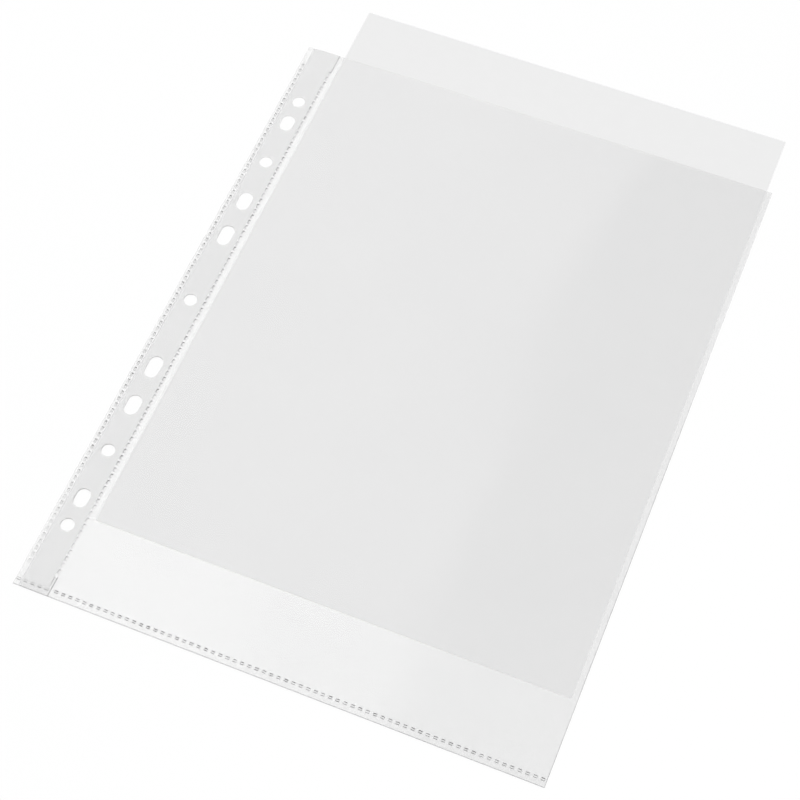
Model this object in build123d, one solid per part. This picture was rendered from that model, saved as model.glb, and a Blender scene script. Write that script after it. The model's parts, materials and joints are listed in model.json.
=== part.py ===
from build123d import *
import os

# A clear punched pocket for one A4 sheet, lying flat with its mouth towards +Y.
# The origin is the middle ring hole's centre, on the back face that the pocket lies on.
# +X runs from the ring holes to the folded edge, and +Z out of the front face. Millimetres.

# Inserted sheet
sheet_width = 210.0
sheet_height = 297.0
sheet_thickness = 0.10
sheet_clearance = 0.07  # air above and below the sheet
sheet_drawn_out = 34.7  # how far the sheet stands above its seat

# Film
film_thickness = 0.10
seam_play = 1.6  # room between the sheet and the line that the leaf bends on
fold_play = 2.7  # room between the sheet and the inside of the fold
mouth_margin = 4.1  # film above the top edge of a sheet that is fully in
film_margin = 2.75  # film beyond the strip's outer edge
flex_width = 0.9  # bare film beside the strip, which bends as the leaf turns
punch_offset = 0.3  # from the middle ring hole up to the pocket's middle

# Reinforcing strip, as the plastic left on each side of the slots
strip_outer_land = 2.9
strip_inner_land = 2.9
strip_edge = 0.2  # strip beyond the inner weld marks

# Weld marks
weld_pitch = 3.2
side_weld_length = 1.9  # along the two rows at the binding edge
side_weld_width = 1.1  # across those rows
bottom_weld_length = 1.6  # along the bottom row
bottom_weld_width = 1.15  # across that row
weld_recess = 0.03  # how far a mark lies under the face
weld_end_gap = 0.3  # from the last mark of the bottom row to the end of its panel
side_row_bare = 10.5  # length without marks at each end of the two side rows
outer_row_gap = 0.6  # bare film between the outer row and the strip
bottom_weld_inset = 3.05  # from the bottom edge to the middle of the bottom row
seat_clearance = 0.2  # between the bottom row and a sheet that is fully in

# Ring holes on one line, as steps outwards from the middle hole
hole_diameter = 6.0
slot_width = 6.2
inner_slot_step = 37.5
inner_slot_length = 11.0
middle_slot_step = 20.5
middle_slot_length = 10.0
inner_hole_step = 24.0
outer_slot_step = 24.5
outer_slot_length = 9.0
outer_hole_step = 13.5

# Levels, from the back face up
pocket_gap = sheet_thickness + 2 * sheet_clearance
back_top = film_thickness
front_base = back_top + pocket_gap
front_top = front_base + film_thickness
mark_top = front_top - weld_recess
fold_inner_radius = pocket_gap / 2
fold_outer_radius = fold_inner_radius + film_thickness

# Places across the pocket, from the left
strip_left = -slot_width / 2 - strip_outer_land
film_left = strip_left - film_margin
outer_row_x = strip_left - outer_row_gap - side_weld_width / 2
inner_row_x = slot_width / 2 + strip_inner_land + side_weld_width / 2
strip_right = inner_row_x + side_weld_width / 2 + strip_edge
leaf_left = strip_right + flex_width
sheet_left = leaf_left + seam_play
sheet_right = sheet_left + sheet_width
fold_x = sheet_right + fold_play - fold_inner_radius

# Places along the pocket, from the bottom
seat_height = bottom_weld_inset + bottom_weld_width / 2 + seat_clearance
pocket_height = seat_height + sheet_height + mouth_margin
pocket_bottom = punch_offset - pocket_height / 2
pocket_top = punch_offset + pocket_height / 2
bottom_row_y = pocket_bottom + bottom_weld_inset
sheet_bottom = pocket_bottom + seat_height + sheet_drawn_out
sheet_top = sheet_bottom + sheet_height

# Distances of the ring holes from the middle one
inner_slot_y = inner_slot_step
middle_slot_y = inner_slot_y + middle_slot_step
inner_hole_y = middle_slot_y + inner_hole_step
outer_slot_y = inner_hole_y + outer_slot_step
outer_hole_y = outer_slot_y + outer_hole_step


def panel(left, right, bottom, top):
    """A flat rectangle between two sides, its bottom and its top."""
    centre = Pos((left + right) / 2, (bottom + top) / 2)
    return centre * Rectangle(right - left, top - bottom)


def layer(outline, base, top):
    """A flat outline given its thickness, between two levels."""
    return extrude(Pos(0, 0, base) * outline, top - base)


def ring_holes():
    """The outlines of the eleven ring holes: slots and round holes in pairs about the middle hole."""
    holes = [Circle(hole_diameter / 2)]
    for y in (inner_hole_y, outer_hole_y):
        holes += [Pos(0, side * y) * Circle(hole_diameter / 2) for side in (-1, 1)]
    slots = (
        (inner_slot_y, inner_slot_length),
        (middle_slot_y, middle_slot_length),
        (outer_slot_y, outer_slot_length),
    )
    for y, length in slots:
        slot = SlotOverall(length, slot_width, rotation=90)
        holes += [Pos(0, side * y) * slot for side in (-1, 1)]
    return holes


def row(start, end, length):
    """The middles of as many weld marks of a length as fit between two ends at the weld's pitch."""
    count = int((end - start - length) / weld_pitch) + 1
    first = (start + end - (count - 1) * weld_pitch) / 2
    return [first + i * weld_pitch for i in range(count)]


def side_marks(x):
    """The outlines of the weld marks in a row along the binding edge."""
    mark = Rectangle(side_weld_width, side_weld_length)
    places = row(pocket_bottom + side_row_bare, pocket_top - side_row_bare, side_weld_length)
    return [Pos(x, y) * mark for y in places]


def bottom_marks(left, right):
    """The outlines of the weld marks in a stretch of the bottom row."""
    mark = Rectangle(bottom_weld_length, bottom_weld_width)
    return [Pos(x, bottom_row_y) * mark for x in row(left, right, bottom_weld_length)]


outer_marks = side_marks(outer_row_x)
inner_marks = side_marks(inner_row_x)
edge_marks = bottom_marks(film_left, strip_left)
strip_marks = bottom_marks(strip_left + strip_edge, strip_right - strip_edge)
leaf_marks = bottom_marks(leaf_left + weld_end_gap, fold_x - weld_end_gap)


def welds(outlines, base):
    """Fused plugs of film, one to a mark, from what they seat on to just under the front face."""
    return [layer(outline, base, mark_top) for outline in outlines]


def margin_back_film():
    openings = ring_holes() + strip_marks
    outline = panel(film_left, strip_right, pocket_bottom, pocket_top) - openings
    return layer(outline, 0, back_top)


def margin_front_film():
    openings = ring_holes() + outer_marks + inner_marks + edge_marks + strip_marks
    outline = panel(film_left, strip_right, pocket_bottom, pocket_top) - openings
    return layer(outline, front_base, front_top)


def reinforcing_strip():
    """The strip, melted through both films where the bottom row crosses its foot."""
    outline = panel(strip_left, strip_right, pocket_bottom, pocket_top) - ring_holes()
    feet = [layer(mark, weld_recess, mark_top) for mark in strip_marks]
    return layer(outline, back_top, front_base) + feet


def outer_weld_row():
    return Compound(welds(outer_marks, back_top))


def inner_weld_row():
    return Compound(welds(inner_marks, front_base))


def corner_weld():
    return Compound(welds(edge_marks, back_top))


def flex_line():
    """The film of both panels beside the strip, which bends when the leaf turns."""
    outline = panel(strip_right, leaf_left, pocket_bottom, pocket_top)
    return Compound([layer(outline, 0, back_top), layer(outline, front_base, front_top)])


def leaf_back_film():
    return layer(panel(leaf_left, fold_x, pocket_bottom, pocket_top), 0, back_top)


def leaf_front_film():
    outline = panel(leaf_left, fold_x, pocket_bottom, pocket_top) - leaf_marks
    return layer(outline, front_base, front_top)


def side_fold():
    """The half round bend that joins the front panel to the back one."""
    ring = Circle(fold_outer_radius) - Circle(fold_inner_radius)
    bend = ring & Pos(fold_outer_radius, 0) * Rectangle(2 * fold_outer_radius, 2 * fold_outer_radius)
    middle = (fold_x, pocket_bottom, back_top + fold_inner_radius)
    return extrude(Plane(middle, x_dir=(1, 0, 0), z_dir=(0, 1, 0)) * bend, pocket_height)


def leaf_bottom_welds():
    return Compound(welds(leaf_marks, back_top))


def insert_sheet():
    outline = panel(sheet_left, sheet_right, sheet_bottom, sheet_top)
    return layer(outline, back_top + sheet_clearance, front_base - sheet_clearance)


pieces = (
    margin_back_film,
    margin_front_film,
    reinforcing_strip,
    outer_weld_row,
    inner_weld_row,
    corner_weld,
    flex_line,
    leaf_back_film,
    leaf_front_film,
    side_fold,
    leaf_bottom_welds,
    insert_sheet,
)

os.makedirs("parts", exist_ok=True)
for piece in pieces:
    export_step(piece(), f"parts/{piece.__name__}.step")
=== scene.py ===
import json
import math
import random
from collections import namedtuple

import bpy
from mathutils import Matrix, Quaternion, Vector
from mathutils.geometry import delaunay_2d_cdt


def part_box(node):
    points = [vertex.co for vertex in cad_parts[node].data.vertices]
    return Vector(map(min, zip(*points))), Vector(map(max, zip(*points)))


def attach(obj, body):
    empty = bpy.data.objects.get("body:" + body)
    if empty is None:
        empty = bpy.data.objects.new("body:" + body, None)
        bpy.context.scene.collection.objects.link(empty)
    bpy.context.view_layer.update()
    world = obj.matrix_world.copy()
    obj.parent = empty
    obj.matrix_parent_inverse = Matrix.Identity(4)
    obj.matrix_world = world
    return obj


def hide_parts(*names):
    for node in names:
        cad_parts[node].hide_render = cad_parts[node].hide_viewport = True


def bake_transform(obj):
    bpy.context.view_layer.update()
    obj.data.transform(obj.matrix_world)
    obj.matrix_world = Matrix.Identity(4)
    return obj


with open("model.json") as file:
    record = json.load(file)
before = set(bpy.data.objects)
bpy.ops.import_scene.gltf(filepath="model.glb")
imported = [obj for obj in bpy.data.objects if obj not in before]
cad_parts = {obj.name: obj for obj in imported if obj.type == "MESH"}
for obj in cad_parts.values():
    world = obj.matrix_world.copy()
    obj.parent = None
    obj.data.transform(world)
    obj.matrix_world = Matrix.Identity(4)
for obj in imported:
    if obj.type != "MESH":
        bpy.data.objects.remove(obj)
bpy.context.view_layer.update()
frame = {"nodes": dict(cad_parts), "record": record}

# A clear punched pocket, with one A4 sheet drawn part of the way out of its mouth.
# Lengths are in millimetres until a mesh is made, and in metres from there on.
# The floor, the lamps and the camera are in metres throughout.

MM = 0.001
dice = random.Random(11)
Mark = namedtuple("Mark", "x y width length base turn press")
Ridge = namedtuple("Ridge", "top left bottom right shades")
Hole = namedtuple("Hole", "middle straight radius")


def corners(node):
    """Lowest and highest corner of a CAD node."""
    low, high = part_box(node)
    return low / MM, high / MM


# Sizes that the pieces take from the frame
margin_low, margin_high = corners("margin_front_film")
leaf_low, leaf_high = corners("leaf_front_film")
strip_low, strip_high = corners("reinforcing_strip")
sheet_low, sheet_high = corners("insert_sheet")
row_low, row_high = corners("leaf_bottom_welds")
film_left = margin_low.x
strip_left = strip_low.x
strip_right = strip_high.x
leaf_left = leaf_low.x
fold_x = leaf_high.x
bottom = margin_low.y
top = margin_high.y
back_top = corners("leaf_back_film")[1].z
front_base = margin_low.z
front_top = margin_high.z
film_thickness = back_top
fold_radius = (front_base + film_thickness - back_top) / 2
touch = 0.01  # places nearer than this count as the same

# Film
flex_end = leaf_left + 0.5  # where the bend beside the strip ends
burr_width = 0.22  # darker film along the cut at the bottom
window_play = 0.02  # between a weld mark and its window in the front film
seam_depth = 0.18  # how far the front film comes down beside the outer welds
seam_width = 0.7
foot_depth = 0.04  # how far it comes down at the bottom row
wave_height = 0.16
mouth_height = 0.34  # how much more the film stands open at the mouth
mouth_reach = 55
fold_steps = 8

# Strip
strip_air = 0.02  # between the strip and each film
strip_thickness = front_base - back_top - 2 * strip_air
strip_spread = 0.1  # how far the strip's outer edge is squeezed out
side_width = 0.2  # the clearer outer edge
pressed_left = corners("inner_weld_row")[0].x - 0.15  # where the strip that the inner row presses begins
pressed_end = 1.2  # pressed strip beyond the middle of the last mark
lip_width = 0.26  # the inner edge beyond the ends of the row
crease_width = 0.25
crease_start = 4.5  # from the bottom edge up to the crease at the strip's foot

# Ring holes
hole_steps = 24  # in each half turn
hole_room = 0.12  # mesh points keep this far off holes and windows
# The shaded walls of the ring holes are painted shade: darker on the side away from the lamps, darkest near
# the bottom
shade_slope = 0.66  # where the shaded side of a hole's wall begins
shade_top = 45  # no wall is shaded above this
dark_top = -70  # shaded walls are dark below this

# Weld marks
mark_corner = 0.1
least_corner = 0.05
mark_steps = 3  # in each corner
mark_turn = 4  # degrees
mark_stray = 0.05
light_press = 0.6
full_press = 1.0
plain_press = 0.8  # the press at which a ridge is as wide as it is written below
bottom_trim = 0.05  # how much smaller a bottom mark is than its plug
foot_shift = -0.2  # how far the bottom row sits lower on the binding margin
faint_end = 24  # side marks are faint up to this far from the bottom
clear_start = 76  # and fully pressed from here on
plug_sink = 0.01
skirt_width = 0.04
skirt_height = 0.012
ridge_height = 0.09
crest_share = 0.45  # how far across its ridge the crest is
slope_height = 0.01
pad_inset = 0.08
pad_depth = 0.05

# Widths of a mark's ridge, and which of the row's materials its top, left, bottom and right have. The ridge
# tones are partly painted shade: each side is darker or lighter as the light falls on it
no_ridge = Ridge(0.0, 0.0, 0.0, 0.0, (0, 0, 0, 0))
outer_ridge = Ridge(0.33, 0.14, 0.16, 0.14, (1, 2, 2, 2))
inner_ridge = Ridge(0.38, 0.28, 0.16, 0.08, (1, 2, 2, 0))
foot_ridge = Ridge(0.16, 0.06, 0.20, 0.06, (2, 2, 1, 2))
bottom_ridge = Ridge(0.29, 0.06, 0.22, 0.06, (1, 3, 2, 3))

# Sheet
sheet_edge = 0.3  # the edge that the cut has thinned
edge_share = 0.2  # half the edge's thickness, as a share of the sheet's
cockle_height = 0.02
sheet_step = 6.0


def smooth(value, start, end):
    """Rises smoothly from 0 at start to 1 at end."""
    t = min(max((value - start) / (end - start), 0.0), 1.0)
    return t * t * (3 - 2 * t)


def spread(start, end, step):
    """Even places from start to end, about a step apart."""
    count = max(1, round((end - start) / step))
    return [start + (end - start) * i / count for i in range(count + 1)]


def stretches(start, *parts):
    """Places from a start on, through parts given by their end and their step."""
    places = [start]
    for end, step in parts:
        places += spread(start, end, step)[1:]
        start = end
    return places


def grid(xs, ys):
    """The outline and the inner points of a rectangle divided across and along."""
    outline = [(x, ys[0]) for x in xs[:-1]] + [(xs[-1], y) for y in ys[:-1]]
    outline += [(x, ys[-1]) for x in reversed(xs[1:])] + [(xs[0], y) for y in reversed(ys[1:])]
    inner = [(x, y) for x in xs[1:-1] for y in ys[1:-1]]
    return outline, inner


def places_along(node, axis, level=-1.0):
    """(start, end) of each weld mark along an axis of a CAD node, from its points above a level."""
    points = frame["nodes"][node].data.vertices
    ends = sorted({round(p.co[axis] / MM, 3) for p in points if p.co.z / MM > level})
    return list(zip(ends[::2], ends[1::2]))


def mark(x, y, width, length, base):
    """A weld mark with the small differences that a crimping wheel leaves."""
    turn = math.radians(dice.uniform(-mark_turn, mark_turn))
    press = dice.uniform(light_press, full_press)
    x += dice.uniform(-mark_stray, mark_stray)
    y += dice.uniform(-mark_stray, mark_stray)
    return Mark(x, y, width, length, base, turn, press)


def side_row(node, faint, shift, trim):
    """The weld marks of a row along the binding edge, smaller than their plugs and faint near the bottom."""
    low, high = corners(node)
    middle = (low.x + high.x) / 2 + shift
    marks = []
    for start, end in places_along(node, 1):
        place = mark(middle, (start + end) / 2, high.x - low.x - trim, end - start - trim, low.z)
        share = faint + (1 - faint) * smooth(place.y, bottom + faint_end, bottom + clear_start)
        marks.append(place._replace(press=place.press * share))
    return marks


def bottom_row(node, places, base, shift):
    """The weld marks of a stretch of the bottom row, as high as a CAD node and at places across."""
    low, high = corners(node)
    middle = (low.y + high.y) / 2 + shift
    length = high.y - low.y - bottom_trim
    return [mark((a + b) / 2, middle, b - a - bottom_trim, length, base) for a, b in places]


outer_marks = side_row("outer_weld_row", faint=0.35, shift=0.02, trim=0.12)
inner_marks = side_row("inner_weld_row", faint=0.6, shift=0.11, trim=0.04)
edge_places = places_along("corner_weld", 0)
strip_places = places_along("reinforcing_strip", 0, front_base + window_play)
leaf_places = places_along("leaf_bottom_welds", 0)
foot_marks = bottom_row("corner_weld", edge_places, corners("corner_weld")[0].z, foot_shift)
foot_marks += bottom_row("corner_weld", strip_places, front_base, foot_shift)
leaf_marks = bottom_row("leaf_bottom_welds", leaf_places, row_low.z, 0.0)


def mark_outline(place, offset, ridge=no_ridge, share=0.0):
    """The rounded outline of a weld mark, moved outwards by an offset and inwards by a share of its ridge."""
    share *= place.press / plain_press
    high_x = place.width / 2 + offset - share * ridge.right
    low_x = -place.width / 2 - offset + share * ridge.left
    high_y = place.length / 2 + offset - share * ridge.top
    low_y = -place.length / 2 - offset + share * ridge.bottom
    radius = min(max(mark_corner + offset, least_corner), (high_x - low_x) / 2, (high_y - low_y) / 2)
    sides = ((high_x, high_y, 1, 1), (low_x, high_y, -1, 1), (low_x, low_y, -1, -1), (high_x, low_y, 1, -1))
    points = []
    for corner, (edge_x, edge_y, side_x, side_y) in enumerate(sides):
        for step in range(mark_steps + 1):
            angle = (corner + step / mark_steps) * math.pi / 2
            x = edge_x - side_x * radius + radius * math.cos(angle)
            y = edge_y - side_y * radius + radius * math.sin(angle)
            points.append((
                place.x + x * math.cos(place.turn) - y * math.sin(place.turn),
                place.y + x * math.sin(place.turn) + y * math.cos(place.turn),
            ))
    return points


def ring_places():
    """The eleven ring holes, from the record's ring mounts."""
    holes = []
    for mount in frame["record"]["mounts"]:
        if mount["kind"] != "bolt_pattern":
            continue
        sizes = mount["dims"]
        radius = sizes["hole_r_mm"]
        straight = max(sizes.get("slot_length_mm", 0) / 2 - radius, 0)
        reach = sizes["spacing_y_mm"] / 2
        holes += [Hole(side * reach, straight, radius) for side in (-1, 1)]
    holes.append(Hole(0.0, 0.0, min(hole.radius for hole in holes if not hole.straight)))
    return holes


def hole_outline(middle, straight, radius):
    """A round hole, or a slot along Y with two straight sides."""
    points = []
    for half in (0, 1):
        shift = middle + (straight if half == 0 else -straight)
        steps = range(hole_steps + 1) if straight else range(hole_steps)
        for step in steps:
            angle = math.pi * (half + step / hole_steps)
            points.append((radius * math.cos(angle), shift + radius * math.sin(angle)))
    return points


ring_holes = ring_places()
hole_outlines = [hole_outline(*hole) for hole in ring_holes]


def in_shade(place):
    """Whether a place on the wall of a ring hole is on its shaded side, towards the outer top corner, where
    shade is painted.
    """
    hole = min(ring_holes, key=lambda hole: abs(place.y - hole.middle) - hole.straight)
    past_middle = place.y - min(max(place.y, hole.middle - hole.straight), hole.middle + hole.straight)
    return past_middle > shade_slope * place.x


def wall_shade(place):
    """How dark the painted shade on a ring hole's wall is: 2 near the bottom, 1 further up, 0 near the mouth
    or in the light.
    """
    if place.y > shade_top or not in_shade(place):
        return 0
    return 2 if place.y < dark_top else 1


def triangulate(outline, holes, inner):
    """Flat points and triangles that fill an outline round its holes, through some points inside."""
    loops = [outline] + holes
    points = []
    faces = []
    for loop in loops:
        faces.append(list(range(len(points), len(points) + len(loop))))
        points += loop
    edges = [(face[i - 1], face[i]) for face in faces for i in range(len(face))]
    boxes = []
    for loop in holes:
        xs = [p[0] for p in loop]
        ys = [p[1] for p in loop]
        boxes.append((min(xs) - hole_room, max(xs) + hole_room, min(ys) - hole_room, max(ys) + hole_room))
    for x, y in inner:
        if not any(a < x < b and c < y < d for a, b, c, d in boxes):
            points.append((x, y))
    flat = [Vector(p) for p in points]
    found = delaunay_2d_cdt(flat, edges, faces, 0, 1e-6)
    triangles = [tuple(face) for face, source in zip(found[2], found[5]) if list(source) == [0]]
    return [(p.x, p.y) for p in found[0]], triangles


class Build:
    """Points and faces of a mesh in the making, with a material number for each face."""

    def __init__(self):
        self.points = []
        self.faces = []
        self.kinds = []

    def point(self, x, y, z):
        self.points.append((x * MM, y * MM, z * MM))
        return len(self.points) - 1

    def face(self, loop, kind=0):
        self.faces.append(tuple(loop))
        self.kinds.append(kind)

    def plate(self, middles, normals, halves, triangles, kinds, wall_kind):
        """A closed plate round a surface, half its thickness to each side, with walls of a kind by place."""
        outer = [self.point(*(p + n * half)) for p, n, half in zip(middles, normals, halves)]
        inner = [self.point(*(p - n * half)) for p, n, half in zip(middles, normals, halves)]
        once = {}
        for triangle, kind in zip(triangles, kinds):
            self.face([outer[i] for i in triangle], kind)
            self.face([inner[i] for i in reversed(triangle)], kind)
            for i in range(len(triangle)):
                a, b = triangle[i - 1], triangle[i]
                if (b, a) in once:
                    del once[(b, a)]
                else:
                    once[(a, b)] = True
        for a, b in once:
            self.face((outer[a], inner[a], inner[b], outer[b]), wall_kind((middles[a] + middles[b]) / 2))

    def ring(self, points, level):
        return [self.point(x, y, level) for x, y in points]

    def band(self, lower, upper, kinds):
        """Faces between two rings of as many points, with a kind for each."""
        for i, kind in enumerate(kinds):
            self.face((lower[i - 1], lower[i], upper[i], upper[i - 1]), kind)

    def done(self, name, materials, crease=35):
        """The mesh as an object, smooth where its faces meet at less than the crease angle."""
        mesh = bpy.data.meshes.new(name)
        mesh.from_pydata(self.points, [], self.faces)
        for material in materials:
            mesh.materials.append(material)
        mesh.polygons.foreach_set("material_index", self.kinds)
        mesh.polygons.foreach_set("use_smooth", [True] * len(self.faces))
        mesh.update()
        mesh.set_sharp_from_angle(angle=math.radians(crease))
        made = bpy.data.objects.new(name, mesh)
        bpy.context.scene.collection.objects.link(made)
        return made


def new_material(name):
    """A material with one Principled shader, and the object's own coordinates for its textures."""
    made = bpy.data.materials.new(name)
    made.use_nodes = True
    nodes = made.node_tree.nodes
    places = nodes.new("ShaderNodeTexCoord")
    return made, nodes, made.node_tree.links, nodes["Principled BSDF"], places.outputs["Object"]


def noise(nodes, links, places, size, detail=3.0, stretch=(1.0, 1.0, 1.0)):
    """A cloud of a size in millimetres, as a number from 0 to 1."""
    turn = nodes.new("ShaderNodeMapping")
    turn.inputs["Scale"].default_value = stretch
    cloud = nodes.new("ShaderNodeTexNoise")
    cloud.inputs["Scale"].default_value = 1 / (size * MM)
    cloud.inputs["Detail"].default_value = detail
    links.new(places, turn.inputs["Vector"])
    links.new(turn.outputs["Vector"], cloud.inputs["Vector"])
    return cloud.outputs["Fac"]


def grey(level, blue=0.0):
    """A neutral colour, or one with a little more blue."""
    return (level, level, level + blue)


def tones(nodes, links, source, dark, light, low=0.3, high=0.7):
    """Two colours, one at each end of a number's range."""
    ramp = nodes.new("ShaderNodeValToRGB")
    ramp.color_ramp.elements[0].position = low
    ramp.color_ramp.elements[0].color = (*dark, 1)
    ramp.color_ramp.elements[1].position = high
    ramp.color_ramp.elements[1].color = (*light, 1)
    links.new(source, ramp.inputs["Fac"])
    return ramp.outputs["Color"]


def between(nodes, links, source, low, high):
    """A number from 0 to 1, moved to the range from low to high."""
    change = nodes.new("ShaderNodeMapRange")
    change.inputs["To Min"].default_value = low
    change.inputs["To Max"].default_value = high
    links.new(source, change.inputs["Value"])
    return change.outputs["Result"]


def raised(nodes, links, source, strength, height):
    """Fine relief from a number, of a height in millimetres."""
    bump = nodes.new("ShaderNodeBump")
    bump.inputs["Strength"].default_value = strength
    bump.inputs["Distance"].default_value = height * MM
    links.new(source, bump.inputs["Height"])
    return bump.outputs["Normal"]


def plastic(name, dark, light, alpha, roughness, gloss, coat, patch, grain, relief):
    """A see-through plastic with a soft drift of tone and a fine embossed grain."""
    made, nodes, links, shader, places = new_material(name)
    drift = noise(nodes, links, places, patch)
    fine = noise(nodes, links, places, grain, detail=1.0)
    links.new(tones(nodes, links, drift, dark, light), shader.inputs["Base Color"])
    links.new(between(nodes, links, fine, roughness - 0.04, roughness + 0.04), shader.inputs["Roughness"])
    links.new(raised(nodes, links, fine, 0.35, relief), shader.inputs["Normal"])
    shader.inputs["Alpha"].default_value = alpha
    shader.inputs["Specular IOR Level"].default_value = gloss
    shader.inputs["Coat Weight"].default_value = coat
    shader.inputs["Coat Roughness"].default_value = roughness
    return made


def film(name, dark, light, alpha, roughness=0.10, patch=60):
    """Clear glossy film."""
    return plastic(name, dark, light, alpha, roughness, 1.0, 1.0, patch, grain=0.6, relief=0.002)


def dull(name, dark, light, alpha, roughness, patch, grain):
    """Plastic with little gloss: the strip, and edges where film or strip is cut or creased."""
    return plastic(name, dark, light, alpha, roughness, 0.5, 0.0, patch, grain, relief=0.002)


def fused(name, dark, light, alpha=0.95, gloss=0.7):
    """Film melted in a weld mark: a clear pad, or one of the ridges round it, whose darker tone is partly
    painted shade.
    """
    return plastic(name, dark, light, alpha, 0.22, gloss, 0.5, patch=2, grain=0.3, relief=0.004)


clear_film = film("clear_film", grey(0.65, blue=0.005), grey(0.69), alpha=0.095)
# The back panel is the same film as the front, given a greyer tone as painted shade
back_film = film("back_film", grey(0.57, blue=0.005), grey(0.61), alpha=0.115)
margin_film = film("margin_film", grey(0.60), grey(0.64), alpha=0.11, roughness=0.12, patch=20)
film_edge = dull("film_edge", grey(0.20, blue=0.01), grey(0.34), 0.24, roughness=0.25, patch=9, grain=0.4)
milky_strip = dull("milky_strip", grey(0.88), grey(0.89), 0.55, roughness=0.38, patch=40, grain=0.8)
strip_side = dull("strip_side", grey(0.58), grey(0.66), 0.24, roughness=0.38, patch=10, grain=0.8)
pressed_strip = dull("pressed_strip", grey(0.68), grey(0.74), 0.04, roughness=0.25, patch=12, grain=0.8)
# Painted shade for the shaded walls of the ring holes
shaded_hole_wall = dull("shaded_hole_wall", grey(0.12), grey(0.26), 0.90, roughness=0.30, patch=3, grain=0.5)
strip_edge = dull("strip_edge", grey(0.14), grey(0.24), 0.60, roughness=0.30, patch=6, grain=0.6)
fused_pad = fused("fused_pad", grey(0.66), grey(0.76), alpha=0.07, gloss=0.8)
side_pad = fused("side_pad", grey(0.50), grey(0.60), alpha=0.15, gloss=0.8)
# The ridges round the weld marks: fused film that is less clear, with painted shade, from the darkest tone to
# the softest
dark_shade_rim = fused("dark_shade_rim", grey(0.04), grey(0.15))
lower_shade_rim = fused("lower_shade_rim", grey(0.06), grey(0.19))
mid_shade_rim = fused("mid_shade_rim", grey(0.20), grey(0.34))
soft_shade_rim = fused("soft_shade_rim", grey(0.44), grey(0.58))


def fold_material():
    """The folded edge, darker near the bottom and pale near the mouth."""
    made, nodes, links, shader, places = new_material("film_fold")
    parts = nodes.new("ShaderNodeSeparateXYZ")
    links.new(places, parts.inputs["Vector"])
    along = nodes.new("ShaderNodeMapRange")
    along.inputs["From Min"].default_value = bottom * MM
    along.inputs["From Max"].default_value = top * MM
    links.new(parts.outputs["Y"], along.inputs["Value"])
    colour = tones(nodes, links, along.outputs["Result"], grey(0.16), grey(0.96), low=0.52, high=0.72)
    fine = noise(nodes, links, places, 0.5, detail=1.0)
    links.new(colour, shader.inputs["Base Color"])
    links.new(between(nodes, links, fine, 0.14, 0.22), shader.inputs["Roughness"])
    shader.inputs["Alpha"].default_value = 0.26
    shader.inputs["Specular IOR Level"].default_value = 0.7
    shader.inputs["Coat Weight"].default_value = 0.4
    shader.inputs["Coat Roughness"].default_value = 0.15
    return made


def paper_material():
    """Uncoated white paper: soft clouds in its formation and a fine fibre relief."""
    made, nodes, links, shader, places = new_material("white_paper")
    clouds = noise(nodes, links, places, 7, detail=4.0)
    fibres = noise(nodes, links, places, 0.45, detail=3.0, stretch=(1.0, 0.45, 1.0))
    links.new(tones(nodes, links, clouds, grey(0.860), grey(0.868)), shader.inputs["Base Color"])
    links.new(between(nodes, links, fibres, 0.82, 0.95), shader.inputs["Roughness"])
    links.new(raised(nodes, links, fibres, 0.25, 0.012), shader.inputs["Normal"])
    shader.inputs["Specular IOR Level"].default_value = 0.15
    return made


film_fold = fold_material()
white_paper = paper_material()


def film_drop(x, y):
    """How far the front film comes down to the back film at its welded edges."""
    outer = smooth(x, strip_left, strip_left - seam_width)
    welded = smooth(y, row_high.y + 0.9, row_high.y - 0.1)
    welded *= smooth(x, strip_right, leaf_left + 0.4) * smooth(x, fold_x, fold_x - 2.5)
    return max(seam_depth * outer, foot_depth * welded)


def film_lift(x, y):
    """How far the front film stands off the sheet in soft waves, most of all at the mouth."""
    across = smooth(x, leaf_left + 2, leaf_left + 38) * smooth(x, fold_x - 1.5, fold_x - 26)
    along = smooth(y, bottom + 5, bottom + 46)
    wave = 0.5 + 0.3 * math.sin(x / 17.0 + y / 43.0) + 0.2 * math.sin(x / 9.5 - y / 27.0 + 2.1)
    mouth = smooth(y, top - mouth_reach, top)
    return across * along * (wave_height * wave + mouth_height * mouth * (0.6 + 0.4 * wave))


def along_fold(points):
    """The numbers of a panel's points on the fold line, from the bottom up."""
    found = [i for i, p in enumerate(points) if p[0] > fold_x - 0.001]
    return sorted(found, key=lambda i: points[i][1])


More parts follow.
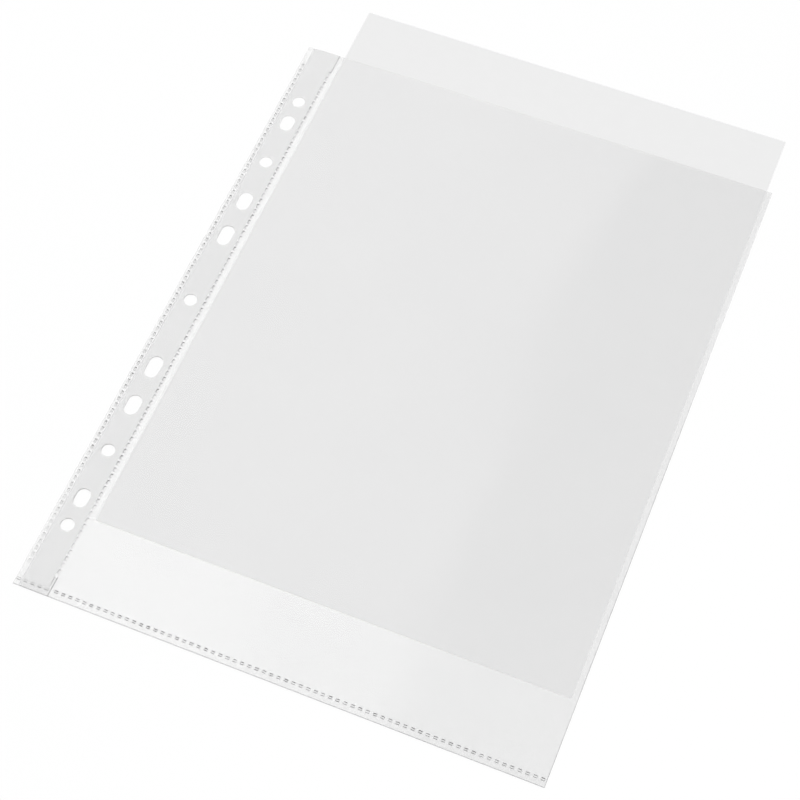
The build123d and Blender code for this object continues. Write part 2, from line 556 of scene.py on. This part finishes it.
def pocket_film():
    """One film, folded along the right edge: front panel, half round fold and back panel."""
    materials = [clear_film, film_edge, film_fold, margin_film, back_film, shaded_hole_wall, soft_shade_rim]
    clear, cut, folded, greyer, shaded_back, dark_shade_wall, soft_shade_wall = range(len(materials))
    burr_top = bottom + burr_width
    seam_end = leaf_left + 2.4
    fold_start = fold_x - 3
    binding_parts = ((strip_left, 0.5), (strip_right, 1.3), (flex_end, 0.1))
    leaf_parts = ((seam_end, 0.5), (fold_start, 4.0), (fold_x, 0.6))
    xs = stretches(film_left, *binding_parts, *leaf_parts)
    ys = stretches(bottom, (burr_top, burr_width), (row_high.y + 1.2, 0.5), (top, 4.0))
    outline, inner = grid(xs, ys)
    marks = outer_marks + inner_marks + foot_marks + leaf_marks
    windows = [mark_outline(place, window_play) for place in marks]
    front_points, front_faces = triangulate(outline, hole_outlines + windows, inner)
    back_points, back_faces = triangulate(outline, hole_outlines, inner)

    middles = []
    normals = []
    for x, y in front_points:
        level = front_base + film_thickness / 2 + film_lift(x, y) - film_drop(x, y)
        middles.append(Vector((x, y, level)))
        normals.append(Vector((0, 0, 1)))
    for x, y in back_points:
        middles.append(Vector((x, y, film_thickness / 2)))
        normals.append(Vector((0, 0, -1)))
    first_back = len(front_points)
    faces = list(front_faces)
    faces += [tuple(first_back + i for i in reversed(face)) for face in back_faces]

    kinds = []
    for number, face in enumerate(faces):
        left = min(middles[i].x for i in face)
        right = max(middles[i].x for i in face)
        upper = max(middles[i].y for i in face)
        in_front = number < len(front_faces)
        on_leaf = left > strip_right - touch
        beside_sheet = right < sheet_low.x or upper < row_low.y
        if upper < burr_top + touch:
            kinds.append(cut)
        # Film at the outer margin and beside the sheet takes a greyer, denser film
        elif right < strip_left + touch or (on_leaf and in_front and beside_sheet):
            kinds.append(greyer)
        # The back panel takes the greyer copy of the film, as painted shade
        elif on_leaf and not in_front:
            kinds.append(shaded_back)
        else:
            kinds.append(clear)

    centre = (front_base + back_top) / 2
    columns = []
    for y, front_end, back_end in zip(ys, along_fold(front_points), along_fold(back_points)):
        column = [front_end]
        for step in range(1, fold_steps):
            angle = math.pi / 2 - math.pi * step / fold_steps
            out = Vector((math.cos(angle), 0, math.sin(angle)))
            middles.append(Vector((fold_x, y, centre)) + out * fold_radius)
            normals.append(out)
            column.append(len(middles) - 1)
        columns.append(column + [first_back + back_end])
    for low, high in zip(columns, columns[1:]):
        for step in range(fold_steps):
            faces.append((low[step], low[step + 1], high[step + 1], high[step]))
            kinds.append(folded)

    hole_reach = max(hole.radius for hole in ring_holes) + 0.1

    def wall_kind(place):
        if place.y < bottom + touch or place.y > top - touch or place.x < film_left + touch:
            return cut
        at_hole = abs(place.x) < hole_reach and place.y > row_high.y + 1
        return (clear, soft_shade_wall, dark_shade_wall)[wall_shade(place)] if at_hole else clear

    build = Build()
    build.plate(middles, normals, [film_thickness / 2] * len(middles), faces, kinds, wall_kind)
    made = build.done("pocket_film", materials)
    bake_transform(made)
    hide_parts("margin_front_film", "margin_back_film", "flex_line")
    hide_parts("leaf_front_film", "leaf_back_film", "side_fold")


def binding_strip():
    """The milky strip with its ring holes, pressed thin and clear between the inner weld marks."""
    materials = [milky_strip, strip_edge, pressed_strip, shaded_hole_wall, strip_side, soft_shade_rim]
    milky, edge, pressed, dark_shade_wall, outer, soft_shade_wall = range(len(materials))
    left = strip_left - strip_spread
    side = strip_left + side_width
    crease = pressed_left + crease_width
    lip = strip_right - lip_width
    row_end = inner_marks[-1].y + pressed_end
    xs = [left] + spread(side, pressed_left, 2.1) + [crease, lip, strip_right]
    ys = spread(bottom, top, 3.0)
    outline, inner = grid(xs, ys)
    points, faces = triangulate(outline, hole_outlines, inner)
    level = (back_top + front_base) / 2
    middles = [Vector((x, y, level)) for x, y in points]
    normals = [Vector((0, 0, 1))] * len(points)

    def face_kind(face):
        x = sum(points[i][0] for i in face) / 3
        y = sum(points[i][1] for i in face) / 3
        if x < side:
            return outer
        if abs(y) < row_end:
            return pressed if x > pressed_left else milky
        creased = pressed_left < x < crease and bottom + crease_start < y < 0
        return edge if x > lip or creased else milky

    def wall_kind(place):
        if place.x < left + touch:
            return outer
        if place.x > strip_right - touch:
            return pressed if abs(place.y) < row_end else edge
        at_hole = bottom + touch < place.y < top - touch
        return (milky, soft_shade_wall, dark_shade_wall)[wall_shade(place)] if at_hole else milky

    build = Build()
    kinds = [face_kind(face) for face in faces]
    build.plate(middles, normals, [strip_thickness / 2] * len(middles), faces, kinds, wall_kind)
    made = build.done("binding_strip", materials)
    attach(made, "binding_margin")
    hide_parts("reinforcing_strip")


def ridge_kinds(ridge):
    """A kind for each face round a weld mark, with the corners as the top and bottom are."""
    top_shade, left_shade, bottom_shade, right_shade = ridge.shades
    across = 2 * mark_steps + 1
    return [right_shade] + [top_shade] * across + [left_shade] + [bottom_shade] * across


def weld_marks(name, marks, materials, ridge, body, *nodes):
    """Crimped marks: each a sunken pad of fused film inside a rounded ridge, with painted shade on the
    ridge's sides.
    """
    build = Build()
    ridged = ridge_kinds(ridge)
    clear = [0] * len(ridged)
    for place in marks:
        surface = front_top + film_lift(place.x, place.y) - film_drop(place.x, place.y)
        base = build.ring(mark_outline(place, 0), place.base - plug_sink)
        skin = build.ring(mark_outline(place, 0), surface)
        skirt = build.ring(mark_outline(place, skirt_width * place.press), surface + skirt_height)
        crest = build.ring(mark_outline(place, 0, ridge, crest_share), surface + ridge_height * place.press)
        slope = build.ring(mark_outline(place, 0, ridge, 1.0), surface + slope_height)
        pad = build.ring(mark_outline(place, -pad_inset, ridge, 1.0), surface - pad_depth)
        build.face(reversed(base))
        build.band(base, skin, clear)
        build.band(skin, skirt, ridged)
        build.band(skirt, crest, ridged)
        build.band(crest, slope, ridged)
        build.band(slope, pad, clear)
        build.face(pad)
    made = build.done(name, materials, crease=70)
    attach(made, body)
    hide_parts(*nodes)


def paper_sheet():
    """The inserted sheet: thin paper, a little thinner along its cut edges, with a faint cockle."""
    low, high = sheet_low, sheet_high
    xs = [low.x] + spread(low.x + sheet_edge, high.x - sheet_edge, sheet_step) + [high.x]
    ys = [low.y] + spread(low.y + sheet_edge, high.y - sheet_edge, sheet_step) + [high.y]
    outline, inner = grid(xs, ys)
    points, faces = triangulate(outline, [], inner)
    level = (low.z + high.z) / 2
    thickness = high.z - low.z
    middles = []
    halves = []
    for x, y in points:
        cockle = cockle_height * math.sin(x / 21.0 + 0.4) * math.sin(y / 26.0)
        inside = min(x - low.x, high.x - x, y - low.y, high.y - y)
        half = thickness * (0.5 if inside > sheet_edge / 2 else edge_share)
        middles.append(Vector((x, y, level + cockle + thickness / 2 - half)))
        halves.append(half)
    normals = [Vector((0, 0, 1))] * len(points)
    build = Build()
    build.plate(middles, normals, halves, faces, [0] * len(faces), lambda place: 0)
    made = build.done("paper_sheet", [white_paper])
    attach(made, "loose_sheet")
    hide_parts("insert_sheet")


outer_pad_and_shade = [side_pad, dark_shade_rim, soft_shade_rim]
inner_pad_and_shade = [fused_pad, dark_shade_rim, mid_shade_rim]
foot_pad_and_shade = [fused_pad, lower_shade_rim, soft_shade_rim]
bottom_pad_and_shade = [fused_pad, dark_shade_rim, lower_shade_rim, soft_shade_rim]
pocket_film()
binding_strip()
weld_marks("outer_weld_marks", outer_marks, outer_pad_and_shade, outer_ridge, "binding_margin", "outer_weld_row")
weld_marks("inner_weld_marks", inner_marks, inner_pad_and_shade, inner_ridge, "binding_margin", "inner_weld_row")
weld_marks("foot_weld_marks", foot_marks, foot_pad_and_shade, foot_ridge, "binding_margin", "corner_weld")
weld_marks("leaf_weld_marks", leaf_marks, bottom_pad_and_shade, bottom_ridge, "pocket_leaf", "leaf_bottom_welds")
paper_sheet()


def white_floor():
    """A pale surface for the soft shadow, so clear that a leaf turned down below it still shows."""
    size = 4.0
    level = -0.1 * MM
    mesh = bpy.data.meshes.new("floor")
    square = [(-size, -size, level), (size, -size, level), (size, size, level), (-size, size, level)]
    mesh.from_pydata(square, [], [(0, 1, 2, 3)])
    made = bpy.data.materials.new("white_floor")
    made.use_nodes = True
    nodes = made.node_tree.nodes
    links = made.node_tree.links
    shader = nodes["Principled BSDF"]
    shader.inputs["Base Color"].default_value = (1.0, 1.0, 1.0, 1)
    shader.inputs["Roughness"].default_value = 1.0
    shader.inputs["Specular IOR Level"].default_value = 0.0
    places = nodes.new("ShaderNodeTexCoord")
    away = nodes.new("ShaderNodeVectorMath")
    away.operation = "LENGTH"
    links.new(places.outputs["Object"], away.inputs[0])
    # The floor fades into the white well outside the object
    fade = nodes.new("ShaderNodeMapRange")
    fade.interpolation_type = "SMOOTHSTEP"
    fade.inputs["From Min"].default_value = 0.6
    fade.inputs["From Max"].default_value = 1.8
    fade.inputs["To Min"].default_value = 0.24
    fade.inputs["To Max"].default_value = 0.0
    links.new(away.outputs["Value"], fade.inputs["Value"])
    clear = nodes.new("ShaderNodeBsdfTransparent")
    mix = nodes.new("ShaderNodeMixShader")
    links.new(fade.outputs["Result"], mix.inputs["Fac"])
    links.new(clear.outputs["BSDF"], mix.inputs[1])
    links.new(shader.outputs["BSDF"], mix.inputs[2])
    links.new(mix.outputs["Shader"], nodes["Material Output"].inputs["Surface"])
    mesh.materials.append(made)
    floor = bpy.data.objects.new("floor", mesh)
    bpy.context.scene.collection.objects.link(floor)


def white_world(level):
    """Even soft light, seen as plain white by the camera and in reflections."""
    world = bpy.data.worlds.new("studio")
    bpy.context.scene.world = world
    world.cycles.sampling_method = "NONE"
    world.use_nodes = True
    nodes = world.node_tree.nodes
    links = world.node_tree.links
    light = nodes["Background"]
    light.inputs["Color"].default_value = (1, 1, 1, 1)
    light.inputs["Strength"].default_value = level
    seen = nodes.new("ShaderNodeBackground")
    seen.inputs["Color"].default_value = (1, 1, 1, 1)
    seen.inputs["Strength"].default_value = 1.0
    path = nodes.new("ShaderNodeLightPath")
    either = nodes.new("ShaderNodeMath")
    either.operation = "MAXIMUM"
    links.new(path.outputs["Is Camera Ray"], either.inputs[0])
    links.new(path.outputs["Is Glossy Ray"], either.inputs[1])
    any_of = nodes.new("ShaderNodeMath")
    any_of.operation = "MAXIMUM"
    links.new(either.outputs["Value"], any_of.inputs[0])
    links.new(path.outputs["Is Transmission Ray"], any_of.inputs[1])
    mix = nodes.new("ShaderNodeMixShader")
    links.new(any_of.outputs["Value"], mix.inputs["Fac"])
    links.new(light.outputs["Background"], mix.inputs[1])
    links.new(seen.outputs["Background"], mix.inputs[2])
    links.new(mix.outputs["Shader"], nodes["World Output"].inputs["Surface"])


def softbox(name, low, high, radiance, height=1.8):
    """A level lamp between two corners, of an even brightness."""
    data = bpy.data.lights.new(name, "AREA")
    data.shape = "RECTANGLE"
    data.size = high[0] - low[0]
    data.size_y = high[1] - low[1]
    data.energy = radiance * math.pi * data.size * data.size_y
    lamp = bpy.data.objects.new(name, data)
    lamp.location = ((low[0] + high[0]) / 2, (low[1] + high[1]) / 2, height)
    bpy.context.scene.collection.objects.link(lamp)


def photo_camera():
    """The photograph's viewpoint, fitted to the corners of the sheet and the pocket."""
    data = bpy.data.cameras.new("camera")
    data.sensor_width = 36
    data.lens = 88.38
    data.clip_start = 0.01
    camera = bpy.data.objects.new("camera", data)
    place = Vector((0.2672, -0.4043, 0.7326))
    aim = Vector((0.1055, -0.0125, 0.0))
    roll = math.radians(-0.34)
    turn = (aim - place).to_track_quat("-Z", "Y") @ Quaternion((0, 0, 1), roll)
    camera.matrix_world = Matrix.Translation(place) @ turn.to_matrix().to_4x4()
    bpy.context.scene.collection.objects.link(camera)
    bpy.context.scene.camera = camera


# Lamps over the binding side: their left and right ends, and how bright the near and the far half are
binding_panels = (
    (-1.6, -0.42, 2.45, 2.5),
    (-0.42, -0.33, 2.1, 2.25),
    (-0.33, -0.23, 1.4, 2.05),
    (-0.23, -0.12, 1.4, 1.9),
)
panel_near, panel_middle, panel_far = 0.1, 0.6, 2.3

white_floor()
white_world(0.43)
for number, (left, right, near_level, far_level) in enumerate(binding_panels):
    softbox(f"near_softbox_{number}", (left, panel_near), (right, panel_middle), near_level)
    softbox(f"far_softbox_{number}", (left, panel_middle), (right, panel_far), far_level)
softbox("front_softbox", (0.34, -2.2), (1.81, 0.0), 2.6)
photo_camera()
bpy.context.scene.view_settings.view_transform = "Standard"
bpy.context.scene.cycles.transparent_max_bounces = 32
